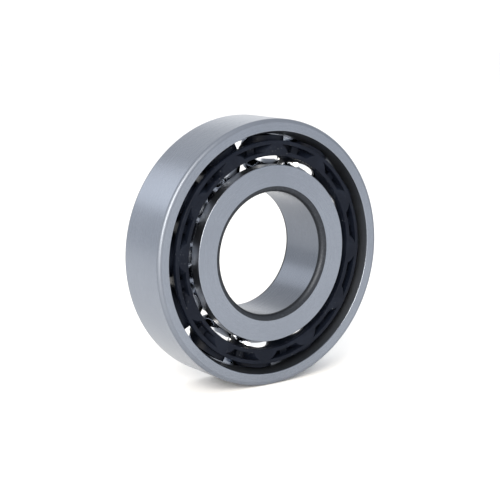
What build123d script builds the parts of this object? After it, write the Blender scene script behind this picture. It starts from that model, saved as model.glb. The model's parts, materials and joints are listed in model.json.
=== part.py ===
from build123d import *
import os
from math import cos, radians, sin

# Single-row angular contact ball bearing, 60 x 130 x 31 mm, 40 degree contact angle.
# The bearing's axis is Y and its centre is the origin. The front faces -Y: there the
# outer ring is counterbored and the inner ring has its high shoulder. Ring sections
# are drawn on the XY plane as (radius, distance along the axis) and revolved about Y.

# Boundary dimensions
bore_diameter = 60.0
outside_diameter = 130.0
width = 31.0

# Rolling elements
ball_count = 12
ball_diameter = 20.638  # 13/16 inch
pitch_diameter = 95.0
contact_angle = radians(40)
ball_phase = -3.7  # degrees from +X towards +Z to the first ball
running_gap = 0.03  # clearance along the contact line, each side of a ball

# Groove radii, as fractions of the ball diameter
inner_groove_ratio = 0.52
outer_groove_ratio = 0.53

# Ring shoulders
outer_back_shoulder = 52.7  # the outer ring's high shoulder, which carries thrust
outer_front_land = 57.45  # the low shoulder that snaps over the balls
outer_front_mouth = 59.25  # the counterbore at the front face
outer_land_front = 9.0  # from the centre to where the counterbore's taper starts
inner_front_shoulder = 43.05  # the inner ring's high shoulder
inner_back_land = 37.75
inner_back_mouth = 36.6
inner_land_back = 8.0

# Corner radii
outer_corner = 2.1
outer_front_corner = 1.8
bore_corner = 2.8
shoulder_edge = 0.4

# Cage: a conical band, larger at the front, with a cup around each ball
cage_front = -13.7  # front plane of the two rims
cage_back = 12.6
rim_outer = 54.6
rim_inner = 47.3
rim_width = 1.9
channel_floor = -8.4  # floor of the channel between the rims
cage_back_outer = 46.2
cage_back_inner = 41.6
cage_edge = 0.35
pocket_clearance = 0.3
lobe_radius = 7.3  # front face of the lobe that covers a ball, flush with the rims
lobe_root = 10.4  # the lobe's radius at the channel's floor
lobe_place = 45.9  # the lobe's centre, from the bearing's axis
cup_radius = 11.2  # outside of the cup's wall, about a radial axis
cup_front = -11.6
cup_top = 56.9
cup_top_back = -5.0
cup_heel = 50.9  # the cup's height where it ends towards the back
cup_heel_back = 2.4
cup_root_front = 51.0  # inside the band, so that cup and band join over their whole width
cup_root_back = 46.0
web_width = 4.0  # bar between two cups, seen in the channel
web_front = -10.4

# Derived values
half_width = width / 2
bore_radius = bore_diameter / 2
outside_radius = outside_diameter / 2
ball_radius = ball_diameter / 2
pitch_radius = pitch_diameter / 2
pocket_radius = ball_radius + pocket_clearance
ball_pitch = 360 / ball_count
channel_depth = channel_floor - cage_front

os.makedirs("parts", exist_ok=True)


def groove_circle(ratio, side):
    """Centre and radius of a groove's section. side is 1 for the inner ring, -1 for the outer."""
    radius = ratio * ball_diameter
    reach = side * (radius - ball_radius)
    centre = (pitch_radius + reach * cos(contact_angle), reach * sin(contact_angle))
    return centre, radius + running_gap


def write(piece, name):
    """Label a finished piece and write it to its own file."""
    piece.label = name
    export_step(piece, f"parts/{name}.step")


# Outer ring: ground outside and faces, open at the front, high shoulder at the back
outer_groove_centre, outer_groove_radius = groove_circle(outer_groove_ratio, -1)
outer_section = [
    (outer_front_mouth, -half_width),
    (outside_radius, -half_width),
    (outside_radius, half_width),
    (outer_back_shoulder, half_width),
    (outer_back_shoulder, 0),
    (outer_front_land, 0),
    (outer_front_land, -outer_land_front),
]
outer_radii = [shoulder_edge, outer_front_corner, outer_corner, shoulder_edge, 0, 0, 0]

with BuildPart() as outer_ring:
    with BuildSketch(Plane.XY):
        with BuildLine():
            FilletPolyline(*outer_section, radius=outer_radii, close=True)
        make_face()
        with Locations(outer_groove_centre):
            Circle(outer_groove_radius, mode=Mode.SUBTRACT)
    revolve(axis=Axis.Y)
write(outer_ring.part, "outer_ring")

# Inner ring: high shoulder at the front, a low land that tapers away at the back
inner_groove_centre, inner_groove_radius = groove_circle(inner_groove_ratio, 1)
inner_section = [
    (bore_radius, -half_width),
    (inner_front_shoulder, -half_width),
    (inner_front_shoulder, 0),
    (inner_back_land, 0),
    (inner_back_land, inner_land_back),
    (inner_back_mouth, half_width),
    (bore_radius, half_width),
]
inner_radii = [bore_corner, shoulder_edge, 0, 0, 0, shoulder_edge, bore_corner]

with BuildPart() as inner_ring:
    with BuildSketch(Plane.XY):
        with BuildLine():
            FilletPolyline(*inner_section, radius=inner_radii, close=True)
        make_face()
        with Locations(inner_groove_centre):
            Circle(inner_groove_radius, mode=Mode.SUBTRACT)
    revolve(axis=Axis.Y)
write(inner_ring.part, "inner_ring")

# One sector of the cage, centred on +X: a slice of the band with one cup, the channel
# between the rims, and the pocket for one ball
band_section = [
    (rim_inner, cage_front),
    (rim_outer, cage_front),
    (rim_outer, cup_front),
    (cage_back_outer, cage_back),
    (cage_back_inner, cage_back),
    (rim_inner, cup_front),
]
cup_section = [
    (cup_root_front, cup_front),
    (cup_top, cup_front),
    (cup_top, cup_top_back),
    (cup_heel, cup_heel_back),
    (cup_root_back, cup_heel_back),
]
channel_section = [
    (rim_inner + rim_width, channel_floor),
    (rim_inner + rim_width, cage_front),
    (rim_outer - rim_width, cage_front),
    (rim_outer - rim_width, channel_floor),
]

with BuildPart() as cup:
    with Locations((pitch_radius, 0, 0)):
        Cylinder(cup_radius, pitch_radius, rotation=(0, 90, 0))
    with BuildSketch(Plane.XY):
        with BuildLine():
            FilletPolyline(*cup_section, radius=[0, cage_edge, 0, 0, 0], close=True)
        make_face()
    revolve(axis=Axis.Y, mode=Mode.INTERSECT)

with BuildPart() as channel:
    with BuildSketch(Plane.XY):
        with BuildLine():
            Polyline(*channel_section, close=True)
        make_face()
    revolve(axis=Axis.Y)
    with Locations((lobe_place, (cage_front + channel_floor) / 2, 0)):
        Cone(lobe_root, lobe_radius, channel_depth, rotation=(90, 0, 0), mode=Mode.SUBTRACT)
    for side in (-1, 1):
        with BuildSketch(Plane.XZ.offset(-channel_floor)):
            with PolarLocations(pitch_radius, 1, start_angle=side * ball_pitch / 2):
                Rectangle(pitch_radius / 2, web_width)
        extrude(amount=channel_floor - web_front, mode=Mode.SUBTRACT)

with BuildPart() as sector:
    with BuildSketch(Plane.XY.rotated((0, ball_pitch / 2, 0))):
        with BuildLine():
            FilletPolyline(*band_section, radius=cage_edge, close=True)
        make_face()
    revolve(axis=Axis.Y, revolution_arc=-ball_pitch)
    add(cup.part)
    add(channel.part, mode=Mode.SUBTRACT)
    with Locations((pitch_radius, 0, 0)):
        Sphere(pocket_radius, mode=Mode.SUBTRACT)

sectors = [
    sector.part.rotate(Axis.Y, -(ball_phase + number * ball_pitch))
    for number in range(ball_count)
]
with BuildPart() as cage:
    add(sectors)
write(cage.part.fix(), "cage")

# Balls: one node each, numbered from the first ball at +X towards +Z
for number in range(ball_count):
    with BuildPart(Plane.XZ) as ball:
        with PolarLocations(pitch_radius, 1, start_angle=ball_phase + number * ball_pitch):
            Sphere(ball_radius)
    write(ball.part, f"ball_{number + 1:02d}")
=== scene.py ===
import json
from math import atan2, cos, hypot, pi, radians, sin, sqrt, tan

import bpy
from mathutils import Matrix, Vector


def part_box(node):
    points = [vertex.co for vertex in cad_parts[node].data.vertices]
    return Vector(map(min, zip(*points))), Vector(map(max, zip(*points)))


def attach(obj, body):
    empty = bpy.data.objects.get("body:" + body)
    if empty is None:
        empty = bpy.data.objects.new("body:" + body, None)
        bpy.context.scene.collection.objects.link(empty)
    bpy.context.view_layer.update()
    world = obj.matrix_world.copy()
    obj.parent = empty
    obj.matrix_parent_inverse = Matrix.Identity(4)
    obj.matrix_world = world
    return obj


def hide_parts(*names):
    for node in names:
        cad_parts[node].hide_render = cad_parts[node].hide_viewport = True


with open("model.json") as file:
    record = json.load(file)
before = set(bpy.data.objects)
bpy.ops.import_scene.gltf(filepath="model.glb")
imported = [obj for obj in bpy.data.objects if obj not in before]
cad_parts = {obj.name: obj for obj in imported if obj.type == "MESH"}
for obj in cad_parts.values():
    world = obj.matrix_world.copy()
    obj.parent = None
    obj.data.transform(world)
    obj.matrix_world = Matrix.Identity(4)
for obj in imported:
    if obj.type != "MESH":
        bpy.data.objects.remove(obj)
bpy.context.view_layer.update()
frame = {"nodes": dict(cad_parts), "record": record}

mm = 0.001

# Driving sizes in millimetres, read from the frame
ballNames = sorted(name for name in frame["nodes"] if name.startswith("ball_"))
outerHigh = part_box("outer_ring")[1]
outsideRadius = outerHigh[0] / mm
halfWidth = outerHigh[1] / mm
boreMount = next(mount for mount in frame["record"]["mounts"] if mount["name"] == "bore")
boreRadius = boreMount["dims"]["r_mm"]


def boxCentre(name):
    low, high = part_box(name)
    return (Vector(low) + Vector(high)) / 2


ballCentres = {name: boxCentre(name) for name in ballNames}
firstCentre = ballCentres[ballNames[0]]
ballRadius = (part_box(ballNames[0])[1][1] - firstCentre.y) / mm
pitchRadius = hypot(firstCentre.x, firstCentre.z) / mm
firstAngle = atan2(firstCentre.z, firstCentre.x)
ballPitch = 2 * pi / len(ballNames)
print("frame read:", len(ballNames), "balls of radius", round(ballRadius, 3), "mm")

# Camera: degrees, then millimetres from the middle of the front face, then metres for farthest
cameraSpec = {
    "azimuth": -35.70, "elevation": 10.46, "distance": 664.6, "right": 11.2, "down": 1.9,
    "lens": 99.4, "farthest": 60.0,
}


def makeCamera(spec):
    data = bpy.data.cameras.new("camera")
    data.lens = spec["lens"]
    data.clip_end = spec["farthest"]
    camera = bpy.data.objects.new("camera", data)
    bpy.context.scene.collection.objects.link(camera)
    azimuth, elevation = radians(spec["azimuth"]), radians(spec["elevation"])
    right = Vector((cos(azimuth), sin(azimuth), 0))
    back = Vector((sin(azimuth) * cos(elevation), -cos(azimuth) * cos(elevation), sin(elevation)))
    up = back.cross(right)
    place = Vector((0, -halfWidth, 0)) + spec["distance"] * back
    place += spec["down"] * up - spec["right"] * right
    camera.location = place * mm
    camera.rotation_euler = (pi / 2 - elevation, 0, azimuth)
    bpy.context.scene.camera = camera


makeCamera(cameraSpec)
bpy.context.scene.view_settings.view_transform = "Standard"


# Shader maths: a Wire is one socket, and an expression on wires adds its Math nodes
class Wire:
    def __init__(self, paint, socket):
        self.paint, self.socket = paint, socket

    def maths(self, operation, *values):
        return self.paint.add("ShaderNodeMath", {"operation": operation}, *values)

    def __add__(self, other):
        return self.maths("ADD", self, other)

    def __sub__(self, other):
        return self.maths("SUBTRACT", self, other)

    def __rsub__(self, other):
        return self.maths("SUBTRACT", other, self)

    def __mul__(self, other):
        return self.maths("MULTIPLY", self, other)

    def __pow__(self, other):
        return self.maths("POWER", self, other)

    def __abs__(self):
        return self.maths("ABSOLUTE", self)

    __radd__ = __add__
    __rmul__ = __mul__


# The nodes of one material, or of the sky
class Paint:
    def __init__(self, owner, shader="ShaderNodeBsdfPrincipled", end="ShaderNodeOutputMaterial"):
        self.owner = owner
        owner.use_nodes = True
        self.tree = owner.node_tree
        self.tree.nodes.clear()
        self.shader = self.tree.nodes.new(shader)
        self.tree.links.new(self.shader.outputs[0], self.tree.nodes.new(end).inputs["Surface"])

    def feed(self, socket, value):
        if isinstance(value, Wire):
            self.tree.links.new(value.socket, socket)
        elif socket.type == "RGBA":
            socket.default_value = (*value, 1)
        else:
            socket.default_value = value

    def add(self, kind, settings, *values, out=0, **named):
        node = self.tree.nodes.new(kind)
        for key, value in settings.items():
            setattr(node, key, value)
        for socket, value in zip([s for s in node.inputs if s.enabled], values):
            self.feed(socket, value)
        for key, value in named.items():
            self.feed(node.inputs[key], value)
        return Wire(self, node.outputs[out])

    def point(self):
        return self.add("ShaderNodeTexCoord", {}, out="Object")

    def split(self, vector):
        return [self.add("ShaderNodeSeparateXYZ", {}, vector, out=axis) for axis in "XYZ"]

    def join(self, x, y, z):
        return self.add("ShaderNodeCombineXYZ", {}, x, y, z)

    def noise(self, vector, scale, detail=2.0, roughness=0.5):
        sockets = {"Vector": vector, "Scale": scale, "Detail": detail, "Roughness": roughness}
        return self.add("ShaderNodeTexNoise", {}, **sockets)

    def ramp(self, value, low, high, start=0.0, end=1.0):
        settings = {"interpolation_type": "SMOOTHSTEP"}
        return self.add("ShaderNodeMapRange", settings, value, low, high, start, end)

    def mix(self, factor, first, second):
        settings = {"data_type": "RGBA", "blend_type": "MIX"}
        return self.add("ShaderNodeMix", settings, factor, first, second, out=2)

    def finish(self, **named):
        for key, value in named.items():
            self.feed(self.shader.inputs[key.replace("_", " ")], value)
        return self.owner


# Ring steel. Each noise is (scale, detail, roughness), blends are in millimetres, depths in metres
steelLook = {
    "face": (0.246, 0.273, 0.325), "shade": (0.208, 0.232, 0.278), "turned": (0.040, 0.044, 0.052),
    "lines": (5200.0, 2.0, 0.6), "patches": (28.0, 4.0, 0.55), "specks": (1400.0, 2.0, 0.6),
    "toneWeights": (0.22, 0.43, 0.35), "toneRange": (0.34, 0.66),
    "roughness": 0.27, "roughnessSpread": 0.08, "lineDepth": 0.0000008,
    "turnedLines": (1500.0, 2.0, 0.5), "turnedSeed": 0.7, "turnedDepth": 0.0000110,
    "turnedRoughness": 0.46, "turnedSpread": 0.2, "turnedMottle": (0.75, 0.5), "turnedBlend": 0.05,
    # The two tones on the next line paint the bore and the surfaces facing the cage darker: painted shade
    "boreTone": 0.42, "boreBlend": (0.01, 0.05), "insideTone": 0.40, "insideRoughness": 0.14,
    "insideBlend": (0.5, 0.2), "racewayRoughness": -0.22, "racewayBlend": (0.02, 0.08),
}


# Ground steel with its lines round the axis. inside: the radii past which the ring's surfaces that face
# the cage are made rougher and painted darker, as painted shade between the rings. raceway: the groove's
# centre and radius, polished.
# corner: low radius, high radius, low |y| and darkness of the corners left as turned.
def steelPaint(name, look, inside, raceway, corner):
    paint = Paint(bpy.data.materials.new(name))
    point = paint.point()
    x, y, z = paint.split(point)
    radius = (x * x + z * z) ** 0.5
    lines = paint.noise(paint.join(radius, y, 0.0), *look["lines"])
    patches = paint.noise(point, *look["patches"])
    specks = paint.noise(point, *look["specks"])
    rough = paint.noise(paint.join(radius, y, look["turnedSeed"]), *look["turnedLines"])

    lowRadius, highRadius, lowHeight, darkness = corner
    blend = look["turnedBlend"]
    turned = paint.ramp(radius, (lowRadius - blend) * mm, lowRadius * mm)
    turned = turned * paint.ramp(radius, highRadius * mm, (highRadius + blend) * mm, 1.0, 0.0)
    turned = turned * paint.ramp(abs(y), (lowHeight - blend) * mm, lowHeight * mm)

    first, last = [(halfWidth - depth) * mm for depth in look["insideBlend"]]
    dullAndShaded = paint.ramp(radius, inside[0] * mm, inside[1] * mm)
    dullAndShaded = dullAndShaded * paint.ramp(abs(y), first, last, 1.0, 0.0)

    centre, grooveRadius = raceway
    reach = ((radius - centre.x * mm) ** 2.0 + (y - centre.y * mm) ** 2.0) ** 0.5
    first, last = [(grooveRadius + depth) * mm for depth in look["racewayBlend"]]
    polished = paint.ramp(reach, first, last, 1.0, 0.0)

    # Mask of the bore, where painted shade darkens the colour
    first, last = [(boreRadius + depth) * mm for depth in look["boreBlend"]]
    bore = paint.ramp(radius, first, last, 1.0, 0.0)

    lineWeight, patchWeight, speckWeight = look["toneWeights"]
    tone = lines * lineWeight + patches * patchWeight + specks * speckWeight
    colour = paint.mix(paint.ramp(tone, *look["toneRange"]), look["shade"], look["face"])
    # Painted shade: the bore is darkened towards the turned colour
    colour = paint.mix(bore * look["boreTone"], colour, look["turned"])
    # Painted shade: the surfaces facing the cage, apart from the polished raceway, are darkened towards
    # the turned colour
    colour = paint.mix(dullAndShaded * (1.0 - polished) * look["insideTone"], colour, look["turned"])
    least, spread = look["turnedMottle"]
    colour = paint.mix(turned * darkness * (least + spread * specks), colour, look["turned"])

    # A noise has its middle at 0.5
    roughness = look["roughness"] + (lines + patches - 1.0) * look["roughnessSpread"]
    step = look["turnedRoughness"] - look["roughness"]
    roughness = roughness + turned * (step + look["turnedSpread"] * (specks - 0.5))
    roughness = roughness + dullAndShaded * (look["insideRoughness"] + polished * look["racewayRoughness"])
    height = lines + turned * (rough + specks) * (look["turnedDepth"] / look["lineDepth"])
    normal = paint.add("ShaderNodeBump", {}, Height=height, Distance=look["lineDepth"])
    return paint.finish(Base_Color=colour, Metallic=1.0, Roughness=roughness, Normal=normal)


ballLook = {
    "colour": (0.86, 0.87, 0.89), "haze": (0.70, 0.72, 0.76), "roughness": 0.045,
    "hazeNoise": (90.0, 4.0, 0.6), "hazeRange": (0.45, 0.75), "hazeTone": 0.6, "hazeRoughness": 0.07,
    "marksNoise": (900.0, 3.0, 0.7), "marksRange": (0.62, 0.8), "marksRoughness": 0.05,
    "marksDepth": 0.0000008,
}


# Polished steel with a little haze and fine marks
def ballPaint(name, look):
    paint = Paint(bpy.data.materials.new(name))
    point = paint.point()
    haze = paint.ramp(paint.noise(point, *look["hazeNoise"]), *look["hazeRange"])
    marks = paint.ramp(paint.noise(point, *look["marksNoise"]), *look["marksRange"])
    colour = paint.mix(haze * look["hazeTone"], look["colour"], look["haze"])
    roughness = look["roughness"] + haze * look["hazeRoughness"] + marks * look["marksRoughness"]
    normal = paint.add("ShaderNodeBump", {}, Height=marks, Distance=look["marksDepth"])
    return paint.finish(Base_Color=colour, Metallic=1.0, Roughness=roughness, Normal=normal)


cageLook = {
    "colour": (0.0040, 0.0058, 0.0115), "worn": (0.0085, 0.0115, 0.0200), "roughness": 0.42,
    "specular": 0.09, "grain": (2400.0, 2.0, 0.6), "grainTone": 0.3, "grainRoughness": 0.1,
    "grainDepth": 0.000006, "flow": (120.0, 3.0, 0.6), "flowRoughness": 0.22,
    "wornRange": (0.42, 0.7), "wornTone": 0.6, "edge": 0.22, "edgeSamples": 6,
    "dust": (0.055, 0.060, 0.070), "dustNoise": (1100.0, 1.0), "dustRange": (0.66, 0.72),
    "patches": (70.0, 2.0), "patchRange": (0.5, 0.62),
}


# Black polyamide with a fine moulded grain, softened edges, paler worn patches and some dust
def cagePaint(name, look):
    paint = Paint(bpy.data.materials.new(name))
    point = paint.point()
    grain = paint.noise(point, *look["grain"])
    flow = paint.noise(point, *look["flow"])
    worn = paint.ramp(flow, *look["wornRange"])
    dusty = paint.ramp(paint.noise(point, *look["patches"]), *look["patchRange"])
    dust = dusty * paint.ramp(paint.noise(point, *look["dustNoise"]), *look["dustRange"])
    weight = worn * look["wornTone"] + grain * look["grainTone"]
    colour = paint.mix(dust, paint.mix(weight, look["colour"], look["worn"]), look["dust"])
    roughness = look["roughness"] + (flow - 0.5) * look["flowRoughness"]
    roughness = roughness + (grain - 0.5) * look["grainRoughness"]
    edges = paint.add("ShaderNodeBevel", {"samples": look["edgeSamples"]}, Radius=look["edge"] * mm)
    sockets = {"Height": grain, "Distance": look["grainDepth"], "Normal": edges}
    normal = paint.add("ShaderNodeBump", {}, **sockets)
    return paint.finish(Base_Color=colour, Roughness=roughness, Normal=normal,
                        Specular_IOR_Level=look["specular"])


# Mesh helpers
def deselectAll():
    if bpy.context.object and bpy.context.object.mode != "OBJECT":
        bpy.ops.object.mode_set(mode="OBJECT")
    bpy.ops.object.select_all(action="DESELECT")


def activate(piece):
    deselectAll()
    piece.select_set(True)
    bpy.context.view_layer.objects.active = piece


# Outline points from (x, y, corner radius) entries
def roundCorners(corners, segments):
    points = []
    for i, (x, y, radius) in enumerate(corners):
        here = Vector((x, y))
        if radius == 0:
            points.append(here)
            continue
        before = (Vector(corners[i - 1][:2]) - here).normalized()
        after = (Vector(corners[(i + 1) % len(corners)][:2]) - here).normalized()
        half = before.angle(after) / 2
        centre = here + (before + after).normalized() * radius / sin(half)
        first = here + before * radius / tan(half) - centre
        last = here + after * radius / tan(half) - centre
        turn = first.angle(last)
        for k in range(segments + 1):
            part = k / segments
            between = first * sin((1 - part) * turn) + last * sin(part * turn)
            points.append(centre + between.normalized() * radius)
    return points


# A point close to each end of the long straight runs keeps their shading flat
def supportFlats(points, near=0.15, longest=1.2):
    supported = []
    for i, here in enumerate(points):
        ahead = points[(i + 1) % len(points)]
        run = (ahead - here).length
        supported.append(here)
        if run > longest:
            supported += [here.lerp(ahead, near / run), here.lerp(ahead, 1 - near / run)]
    return supported


# A closed outline on the XY plane, left in edit mode with everything selected
def drawOutline(name, points):
    deselectAll()
    bpy.ops.mesh.primitive_plane_add(size=mm)
    piece = bpy.context.object
    piece.name = piece.data.name = name
    bpy.ops.object.mode_set(mode="EDIT")
    bpy.ops.mesh.select_all(action="SELECT")
    bpy.ops.mesh.merge(type="CENTER")
    bpy.ops.transform.translate(value=(points[0].x * mm, points[0].y * mm, 0))
    for here, ahead in zip(points, points[1:]):
        step = (ahead - here) * mm
        bpy.ops.mesh.extrude_region_move(TRANSFORM_OT_translate={"value": (step.x, step.y, 0)})
    bpy.ops.mesh.select_all(action="SELECT")
    bpy.ops.mesh.edge_face_add()
    bpy.ops.mesh.delete(type="ONLY_FACE")
    bpy.ops.mesh.select_all(action="SELECT")
    return piece


def mergeAndFaceOut(threshold=0.004):
    bpy.ops.mesh.select_all(action="SELECT")
    bpy.ops.mesh.remove_doubles(threshold=threshold * mm)
    bpy.ops.mesh.select_all(action="SELECT")
    bpy.ops.mesh.normals_make_consistent(inside=False)


def smooth(piece, angle=30):
    activate(piece)
    bpy.ops.object.shade_smooth_by_angle(angle=radians(angle))


def turnRing(name, points, steps):
    piece = drawOutline(name, points)
    bpy.ops.mesh.spin(steps=steps, angle=2 * pi, center=(0, 0, 0), axis=(0, 1, 0))
    mergeAndFaceOut()
    smooth(piece)
    return piece


# A closed wedge of a turned band, centred on +X
def turnSlice(name, points, halfAngle, steps):
    piece = drawOutline(name, points)
    bpy.ops.transform.rotate(value=-halfAngle, orient_axis="Y", center_override=(0, 0, 0))
    bpy.ops.mesh.spin(steps=steps, angle=2 * halfAngle, center=(0, 0, 0), axis=(0, 1, 0))
    bpy.ops.mesh.select_all(action="SELECT")
    bpy.ops.mesh.fill_holes(sides=0)
    mergeAndFaceOut()
    deselectAll()
    return piece


def cut(piece, tool, operation):
    activate(piece)
    modifier = piece.modifiers.new(operation, "BOOLEAN")
    modifier.operation = operation
    modifier.solver = "EXACT"
    modifier.object = tool
    bpy.ops.object.modifier_apply(modifier=modifier.name)
    bpy.data.objects.remove(tool, do_unlink=True)


def give(piece, material, body, slot, *nodes):
    piece.data.materials.clear()
    piece.data.materials.append(material)
    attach(piece, body)
    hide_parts(*nodes)


# Ring grooves. side is 1 for the inner ring and -1 for the outer
grooveSpec = {"contactAngle": 40, "runningGap": 0.03, "arcSteps": 30}


def groove(ratio, side):
    contact = radians(grooveSpec["contactAngle"])
    radius = ratio * 2 * ballRadius
    reach = side * (radius - ballRadius)
    centre = Vector((pitchRadius + reach * cos(contact), reach * sin(contact)))
    return centre, radius + grooveSpec["runningGap"]


# The point where a groove meets the radius place, behind its centre or, with -1, before it
def grooveEnd(centre, radius, place, behind):
    return Vector((place, centre.y + behind * sqrt(radius ** 2 - (place - centre.x) ** 2)))


# Points along the groove between its two ends, as sharp corners
def grooveArc(centre, radius, first, last, side):
    deepest = Vector((-side, 0))
    start = (first - centre).angle_signed(deepest)
    end = (last - centre).angle_signed(deepest)
    points = []
    for k in range(1, grooveSpec["arcSteps"]):
        angle = atan2(0, -side) + start + (end - start) * k / grooveSpec["arcSteps"]
        points.append((centre.x + radius * cos(angle), centre.y + radius * sin(angle), 0))
    return points


outerSpec = {
    "mouth": 59.25, "land": 57.45, "landFront": 9.0, "shoulder": 52.7, "groove": 0.53,
    "frontCorner": 1.8, "backCorner": 2.1, "edge": 0.4, "grooveEdge": 0.2,
    "steps": 240, "cornerSteps": 6, "inside": (59.4, 59.2), "cornerDarkness": 0.15,
}


def outerOutline(spec):
    centre, radius = groove(spec["groove"], -1)
    shoulder = grooveEnd(centre, radius, spec["shoulder"], 1)
    land = grooveEnd(centre, radius, spec["land"], -1)
    corners = [
        (spec["mouth"], -halfWidth, spec["edge"]),
        (outsideRadius, -halfWidth, spec["frontCorner"]),
        (outsideRadius, halfWidth, spec["backCorner"]),
        (spec["shoulder"], halfWidth, spec["edge"]),
        (*shoulder, spec["grooveEdge"]),
        *grooveArc(centre, radius, shoulder, land, -1),
        (*land, spec["grooveEdge"]),
        (spec["land"], -spec["landFront"], spec["grooveEdge"]),
    ]
    return supportFlats(roundCorners(corners, spec["cornerSteps"]))


innerSpec = {
    "shoulder": 43.05, "land": 37.75, "landBack": 8.0, "backMouth": 36.6, "groove": 0.52,
    "boreCorner": 2.8, "edge": 0.4, "grooveEdge": 0.2,
    "steps": 240, "cornerSteps": 6, "inside": (36.4, 36.6), "cornerDarkness": 1.0,
}


def innerOutline(spec):
    centre, radius = groove(spec["groove"], 1)
    shoulder = grooveEnd(centre, radius, spec["shoulder"], -1)
    land = grooveEnd(centre, radius, spec["land"], 1)
    corners = [
        (boreRadius, -halfWidth, spec["boreCorner"]),
        (spec["shoulder"], -halfWidth, spec["edge"]),
        (*shoulder, spec["grooveEdge"]),
        *grooveArc(centre, radius, shoulder, land, 1),
        (*land, spec["grooveEdge"]),
        (spec["land"], spec["landBack"], spec["grooveEdge"]),
        (spec["backMouth"], halfWidth, spec["edge"]),
        (boreRadius, halfWidth, spec["boreCorner"]),
    ]
    return supportFlats(roundCorners(corners, spec["cornerSteps"]))


# What steelPaint takes as a ring's turned corners, with a spare millimetre past the ring's surface
spare = 1
size = outerSpec["frontCorner"]
outerCorner = (outsideRadius - size, outsideRadius + spare, halfWidth - size, outerSpec["cornerDarkness"])
size = innerSpec["boreCorner"]
innerCorner = (boreRadius - spare, boreRadius + size, halfWidth - size, innerSpec["cornerDarkness"])

outerRing = turnRing("outerRing", outerOutline(outerSpec), outerSpec["steps"])
raceway = groove(outerSpec["groove"], -1)
outerSteel = steelPaint("outerSteel", steelLook, outerSpec["inside"], raceway, outerCorner)
give(outerRing, outerSteel, "outer_ring", "ring_steel", "outer_ring")

innerRing = turnRing("innerRing", innerOutline(innerSpec), innerSpec["steps"])
raceway = groove(innerSpec["groove"], 1)
innerSteel = steelPaint("innerSteel", steelLook, innerSpec["inside"], raceway, innerCorner)
give(innerRing, innerSteel, "inner_ring", "ring_steel", "inner_ring")
print("rings turned:", len(outerRing.data.polygons), "and", len(innerRing.data.polygons), "faces")

# Balls
ballSpec = {"segments": 96, "rings": 48}


def makeBall(name, spec):
    deselectAll()
    bpy.ops.mesh.primitive_uv_sphere_add(segments=spec["segments"], ring_count=spec["rings"],
                                         radius=ballRadius * mm)
    ball = bpy.context.object
    bpy.ops.object.mode_set(mode="EDIT")
    bpy.ops.mesh.select_all(action="SELECT")
    bpy.ops.transform.translate(value=ballCentres[name])
    bpy.ops.object.mode_set(mode="OBJECT")
    ball.name = ball.data.name = "ball" + name[-2:]
    bpy.ops.object.shade_smooth()
    return ball


chrome = ballPaint("ballSteel", ballLook)
for name in ballNames:
    give(makeBall(name, ballSpec), chrome, name, "ball_steel", name)
print("balls made:", len(ballNames))

# Cage: one sector, cut from a slice of the band, then a copy of it for each ball. overlap is how
# far a tool reaches past the surface that it cuts, and half angles are in degrees
cageSpec = {
    "front": -13.7, "back": 12.6, "rimOuter": 54.6, "rimInner": 47.3, "rimWidth": 1.9, "floor": -8.4,
    "backOuter": 46.2, "backInner": 41.6, "pocketGap": 0.3, "edge": 0.35,
    "lobe": 7.3, "lobeRoot": 10.4, "lobePlace": 45.9, "web": 4.0, "webFront": -10.4,
    "cup": 11.2, "cupFront": -11.6, "cupTop": 56.9, "cupTopBack": -5.0, "cupHeel": 50.9,
    "cupHeelBack": 2.4, "rootFront": 51.0, "rootBack": 46.0, "overlap": 0.5,
    "bandSteps": 24, "cupHalf": 20, "cupSteps": 32, "channelHalf": 17, "channelSteps": 28,
    "cornerSteps": 3, "roundSteps": 96, "merge": 0.02, "smoothAngle": 35,
}


def cageBand(spec):
    points = roundCorners([
        (spec["rimInner"], spec["front"], spec["edge"]),
        (spec["rimOuter"], spec["front"], spec["edge"]),
        (spec["rimOuter"], spec["cupFront"], spec["edge"]),
        (spec["backOuter"], spec["back"], spec["edge"]),
        (spec["backInner"], spec["back"], spec["edge"]),
        (spec["rimInner"], spec["cupFront"], spec["edge"]),
    ], spec["cornerSteps"])
    return turnSlice("cage", points, ballPitch / 2, spec["bandSteps"])


# The wall around one ball: a turned slice, kept inside a cylinder about the ball's radial line
def cageCup(spec):
    points = roundCorners([
        (spec["rootFront"], spec["cupFront"], 0),
        (spec["cupTop"], spec["cupFront"], spec["edge"]),
        (spec["cupTop"], spec["cupTopBack"], 2 * spec["edge"]),
        (spec["cupHeel"], spec["cupHeelBack"], spec["edge"]),
        (spec["rootBack"], spec["cupHeelBack"], 0),
    ], spec["cornerSteps"])
    cup = turnSlice("cup", points, radians(spec["cupHalf"]), spec["cupSteps"])
    deselectAll()
    bpy.ops.mesh.primitive_cylinder_add(
        vertices=spec["roundSteps"], radius=spec["cup"] * mm, depth=pitchRadius * mm,
        location=(pitchRadius * mm, 0, 0), rotation=(0, pi / 2, 0))
    cut(cup, bpy.context.object, "INTERSECT")
    return cup


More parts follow.
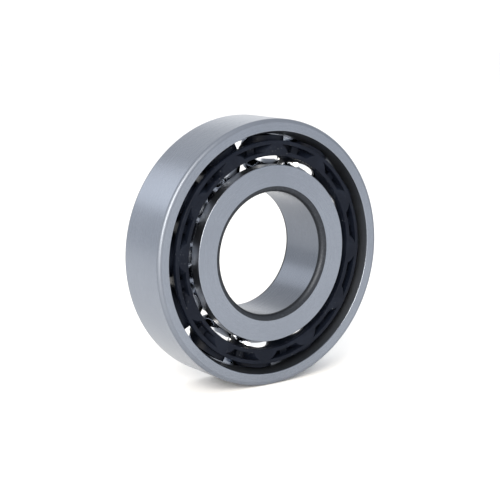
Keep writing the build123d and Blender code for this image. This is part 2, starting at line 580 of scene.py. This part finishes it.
# The channel between the rims, less the lobe over the ball and half a web at each end
def cageChannel(spec):
    overlap, slant = spec["overlap"], spec["lobeRoot"] - spec["lobe"]
    channelDepth = spec["floor"] - spec["front"]
    front = spec["front"] - overlap
    inner, outer = spec["rimInner"] + spec["rimWidth"], spec["rimOuter"] - spec["rimWidth"]
    corners = ((inner, spec["floor"]), (inner, front), (outer, front), (outer, spec["floor"]))
    points = [Vector(corner) for corner in corners]
    channel = turnSlice("channel", points, radians(spec["channelHalf"]), spec["channelSteps"])
    extra = slant / channelDepth * overlap
    deselectAll()
    bpy.ops.mesh.primitive_cone_add(
        vertices=spec["roundSteps"], radius1=(spec["lobeRoot"] + extra) * mm,
        radius2=(spec["lobe"] - extra) * mm, depth=(channelDepth + 2 * overlap) * mm,
        location=(spec["lobePlace"] * mm, (spec["front"] + spec["floor"]) / 2 * mm, 0),
        rotation=(pi / 2, 0, 0))
    cut(channel, bpy.context.object, "DIFFERENCE")
    barDepth = spec["floor"] + overlap - spec["webFront"]
    for side in (-1, 1):
        deselectAll()
        bpy.ops.mesh.primitive_cube_add(size=mm)
        bar = bpy.context.object
        bpy.ops.object.mode_set(mode="EDIT")
        bpy.ops.mesh.select_all(action="SELECT")
        bpy.ops.transform.resize(value=(pitchRadius / 2, barDepth, spec["web"]))
        bpy.ops.transform.translate(value=(pitchRadius * mm, (spec["webFront"] + barDepth / 2) * mm, 0))
        bpy.ops.transform.rotate(value=side * ballPitch / 2, orient_axis="Y",
                                 center_override=(0, 0, 0))
        cut(channel, bar, "DIFFERENCE")
    return channel


def cageSector(spec):
    sector = cageBand(spec)
    cut(sector, cageCup(spec), "UNION")
    cut(sector, cageChannel(spec), "DIFFERENCE")
    deselectAll()
    bpy.ops.mesh.primitive_uv_sphere_add(
        segments=spec["roundSteps"], ring_count=spec["roundSteps"] // 2,
        radius=(ballRadius + spec["pocketGap"]) * mm, location=(pitchRadius * mm, 0, 0))
    cut(sector, bpy.context.object, "DIFFERENCE")
    return sector


# Deletes the faces that close a sector's two ends, so that its copies join up
def openEnds(piece, parallel=0.999, near=0.0005):
    ends = [Vector((sin(ballPitch / 2), 0, side * cos(ballPitch / 2))) for side in (-1, 1)]
    for face in piece.data.polygons:
        across = max(abs(face.normal.dot(end)) for end in ends)
        angle = abs(atan2(face.center.z, face.center.x))
        face.select = across > parallel and angle > ballPitch / 2 - near
    for item in (*piece.data.vertices, *piece.data.edges):
        item.select = False
    bpy.ops.object.mode_set(mode="EDIT")
    bpy.ops.mesh.select_mode(type="FACE")
    bpy.ops.mesh.delete(type="FACE")
    bpy.ops.mesh.select_mode(type="VERT")
    bpy.ops.object.mode_set(mode="OBJECT")


def makeCage(spec):
    sector = cageSector(spec)
    activate(sector)
    openEnds(sector)
    copies = []
    for number in range(len(ballNames)):
        copy = sector.copy()
        copy.data = sector.data.copy()
        angle = firstAngle + number * ballPitch
        copy.data.transform(Matrix.Rotation(-angle, 4, "Y"))  # carries +X towards +Z
        bpy.context.scene.collection.objects.link(copy)
        copies.append(copy)
    bpy.data.objects.remove(sector, do_unlink=True)
    deselectAll()
    for copy in copies:
        copy.select_set(True)
    bpy.context.view_layer.objects.active = copies[0]
    bpy.ops.object.join()
    moulding = bpy.context.object
    moulding.name = moulding.data.name = "cageMoulding"
    bpy.ops.object.mode_set(mode="EDIT")
    mergeAndFaceOut(spec["merge"])
    smooth(moulding, spec["smoothAngle"])
    return moulding


cage = makeCage(cageSpec)
give(cage, cagePaint("cagePolyamide", cageLook), "cage", "cage_polyamide", "cage")
print("cage made:", len(cage.data.polygons), "faces")

# Floor, sky and lamps, in metres and watts. The sky's belt is brighter than its ceiling, and
# beltTop and ceilingFrom are heights on a sky of radius 1
floorSpec = {
    "size": 6.0, "colour": (0.970, 0.973, 0.976), "cloud": 3.0, "cloudTone": 0.985,
    "roughness": 0.8, "specular": 0.2,
}
skySpec = {
    "colour": (0.99, 0.995, 1.0), "belt": 1.14, "ceiling": 1.02, "beltTop": 0.30, "ceilingFrom": 0.55,
}
white, warm = (1.0, 1.0, 1.0), (1.0, 0.92, 0.80)
lampSpecs = {
    "overhead": {"place": (0.1, -0.1, 1.6), "size": (1.6, 1.6), "power": 1.6, "colour": white},
    "frontLeft": {"place": (-0.99, -0.88, 0.64), "size": (0.7, 1.15), "power": 27.0, "colour": warm},
    "backLeft": {"place": (-0.67, 1.28, 0.74), "size": (0.7, 0.6), "power": 1.3, "colour": white},
    "backRight": {"place": (0.82, 1.28, 0.51), "size": (0.5, 0.5), "power": 0.2, "colour": white},
}


def makeFloor(spec):
    deselectAll()
    bpy.ops.mesh.primitive_plane_add(size=spec["size"])
    floor = bpy.context.object
    floor.name = floor.data.name = "floor"
    bpy.ops.object.mode_set(mode="EDIT")
    bpy.ops.mesh.select_all(action="SELECT")
    bpy.ops.transform.translate(value=(0, 0, -outsideRadius * mm))
    bpy.ops.object.mode_set(mode="OBJECT")
    paint = Paint(bpy.data.materials.new("floorPaint"))
    darker = tuple(spec["cloudTone"] * part for part in spec["colour"])
    colour = paint.mix(paint.noise(paint.point(), spec["cloud"]), spec["colour"], darker)
    floor.data.materials.append(paint.finish(Base_Color=colour, Roughness=spec["roughness"],
                                             Specular_IOR_Level=spec["specular"]))


def makeSky(spec):
    world = bpy.data.worlds.new("studio")
    bpy.context.scene.world = world
    sky = Paint(world, "ShaderNodeBackground", "ShaderNodeOutputWorld")
    height = sky.split(sky.add("ShaderNodeTexCoord", {}, out="Generated"))[2]
    level = sky.ramp(height, spec["beltTop"], spec["ceilingFrom"], spec["belt"], spec["ceiling"])
    sky.finish(Color=spec["colour"], Strength=level)


def makeLamp(name, spec):
    lamp = bpy.data.lights.new(name, "AREA")
    lamp.shape = "RECTANGLE"
    lamp.size, lamp.size_y = spec["size"]
    lamp.energy = spec["power"]
    lamp.color = spec["colour"]
    holder = bpy.data.objects.new(name, lamp)
    bpy.context.scene.collection.objects.link(holder)
    holder.location = spec["place"]
    holder.rotation_euler = (-Vector(spec["place"])).to_track_quat("-Z", "Y").to_euler()


makeFloor(floorSpec)
makeSky(skySpec)
for name, spec in lampSpecs.items():
    makeLamp(name, spec)
print("floor and light made")
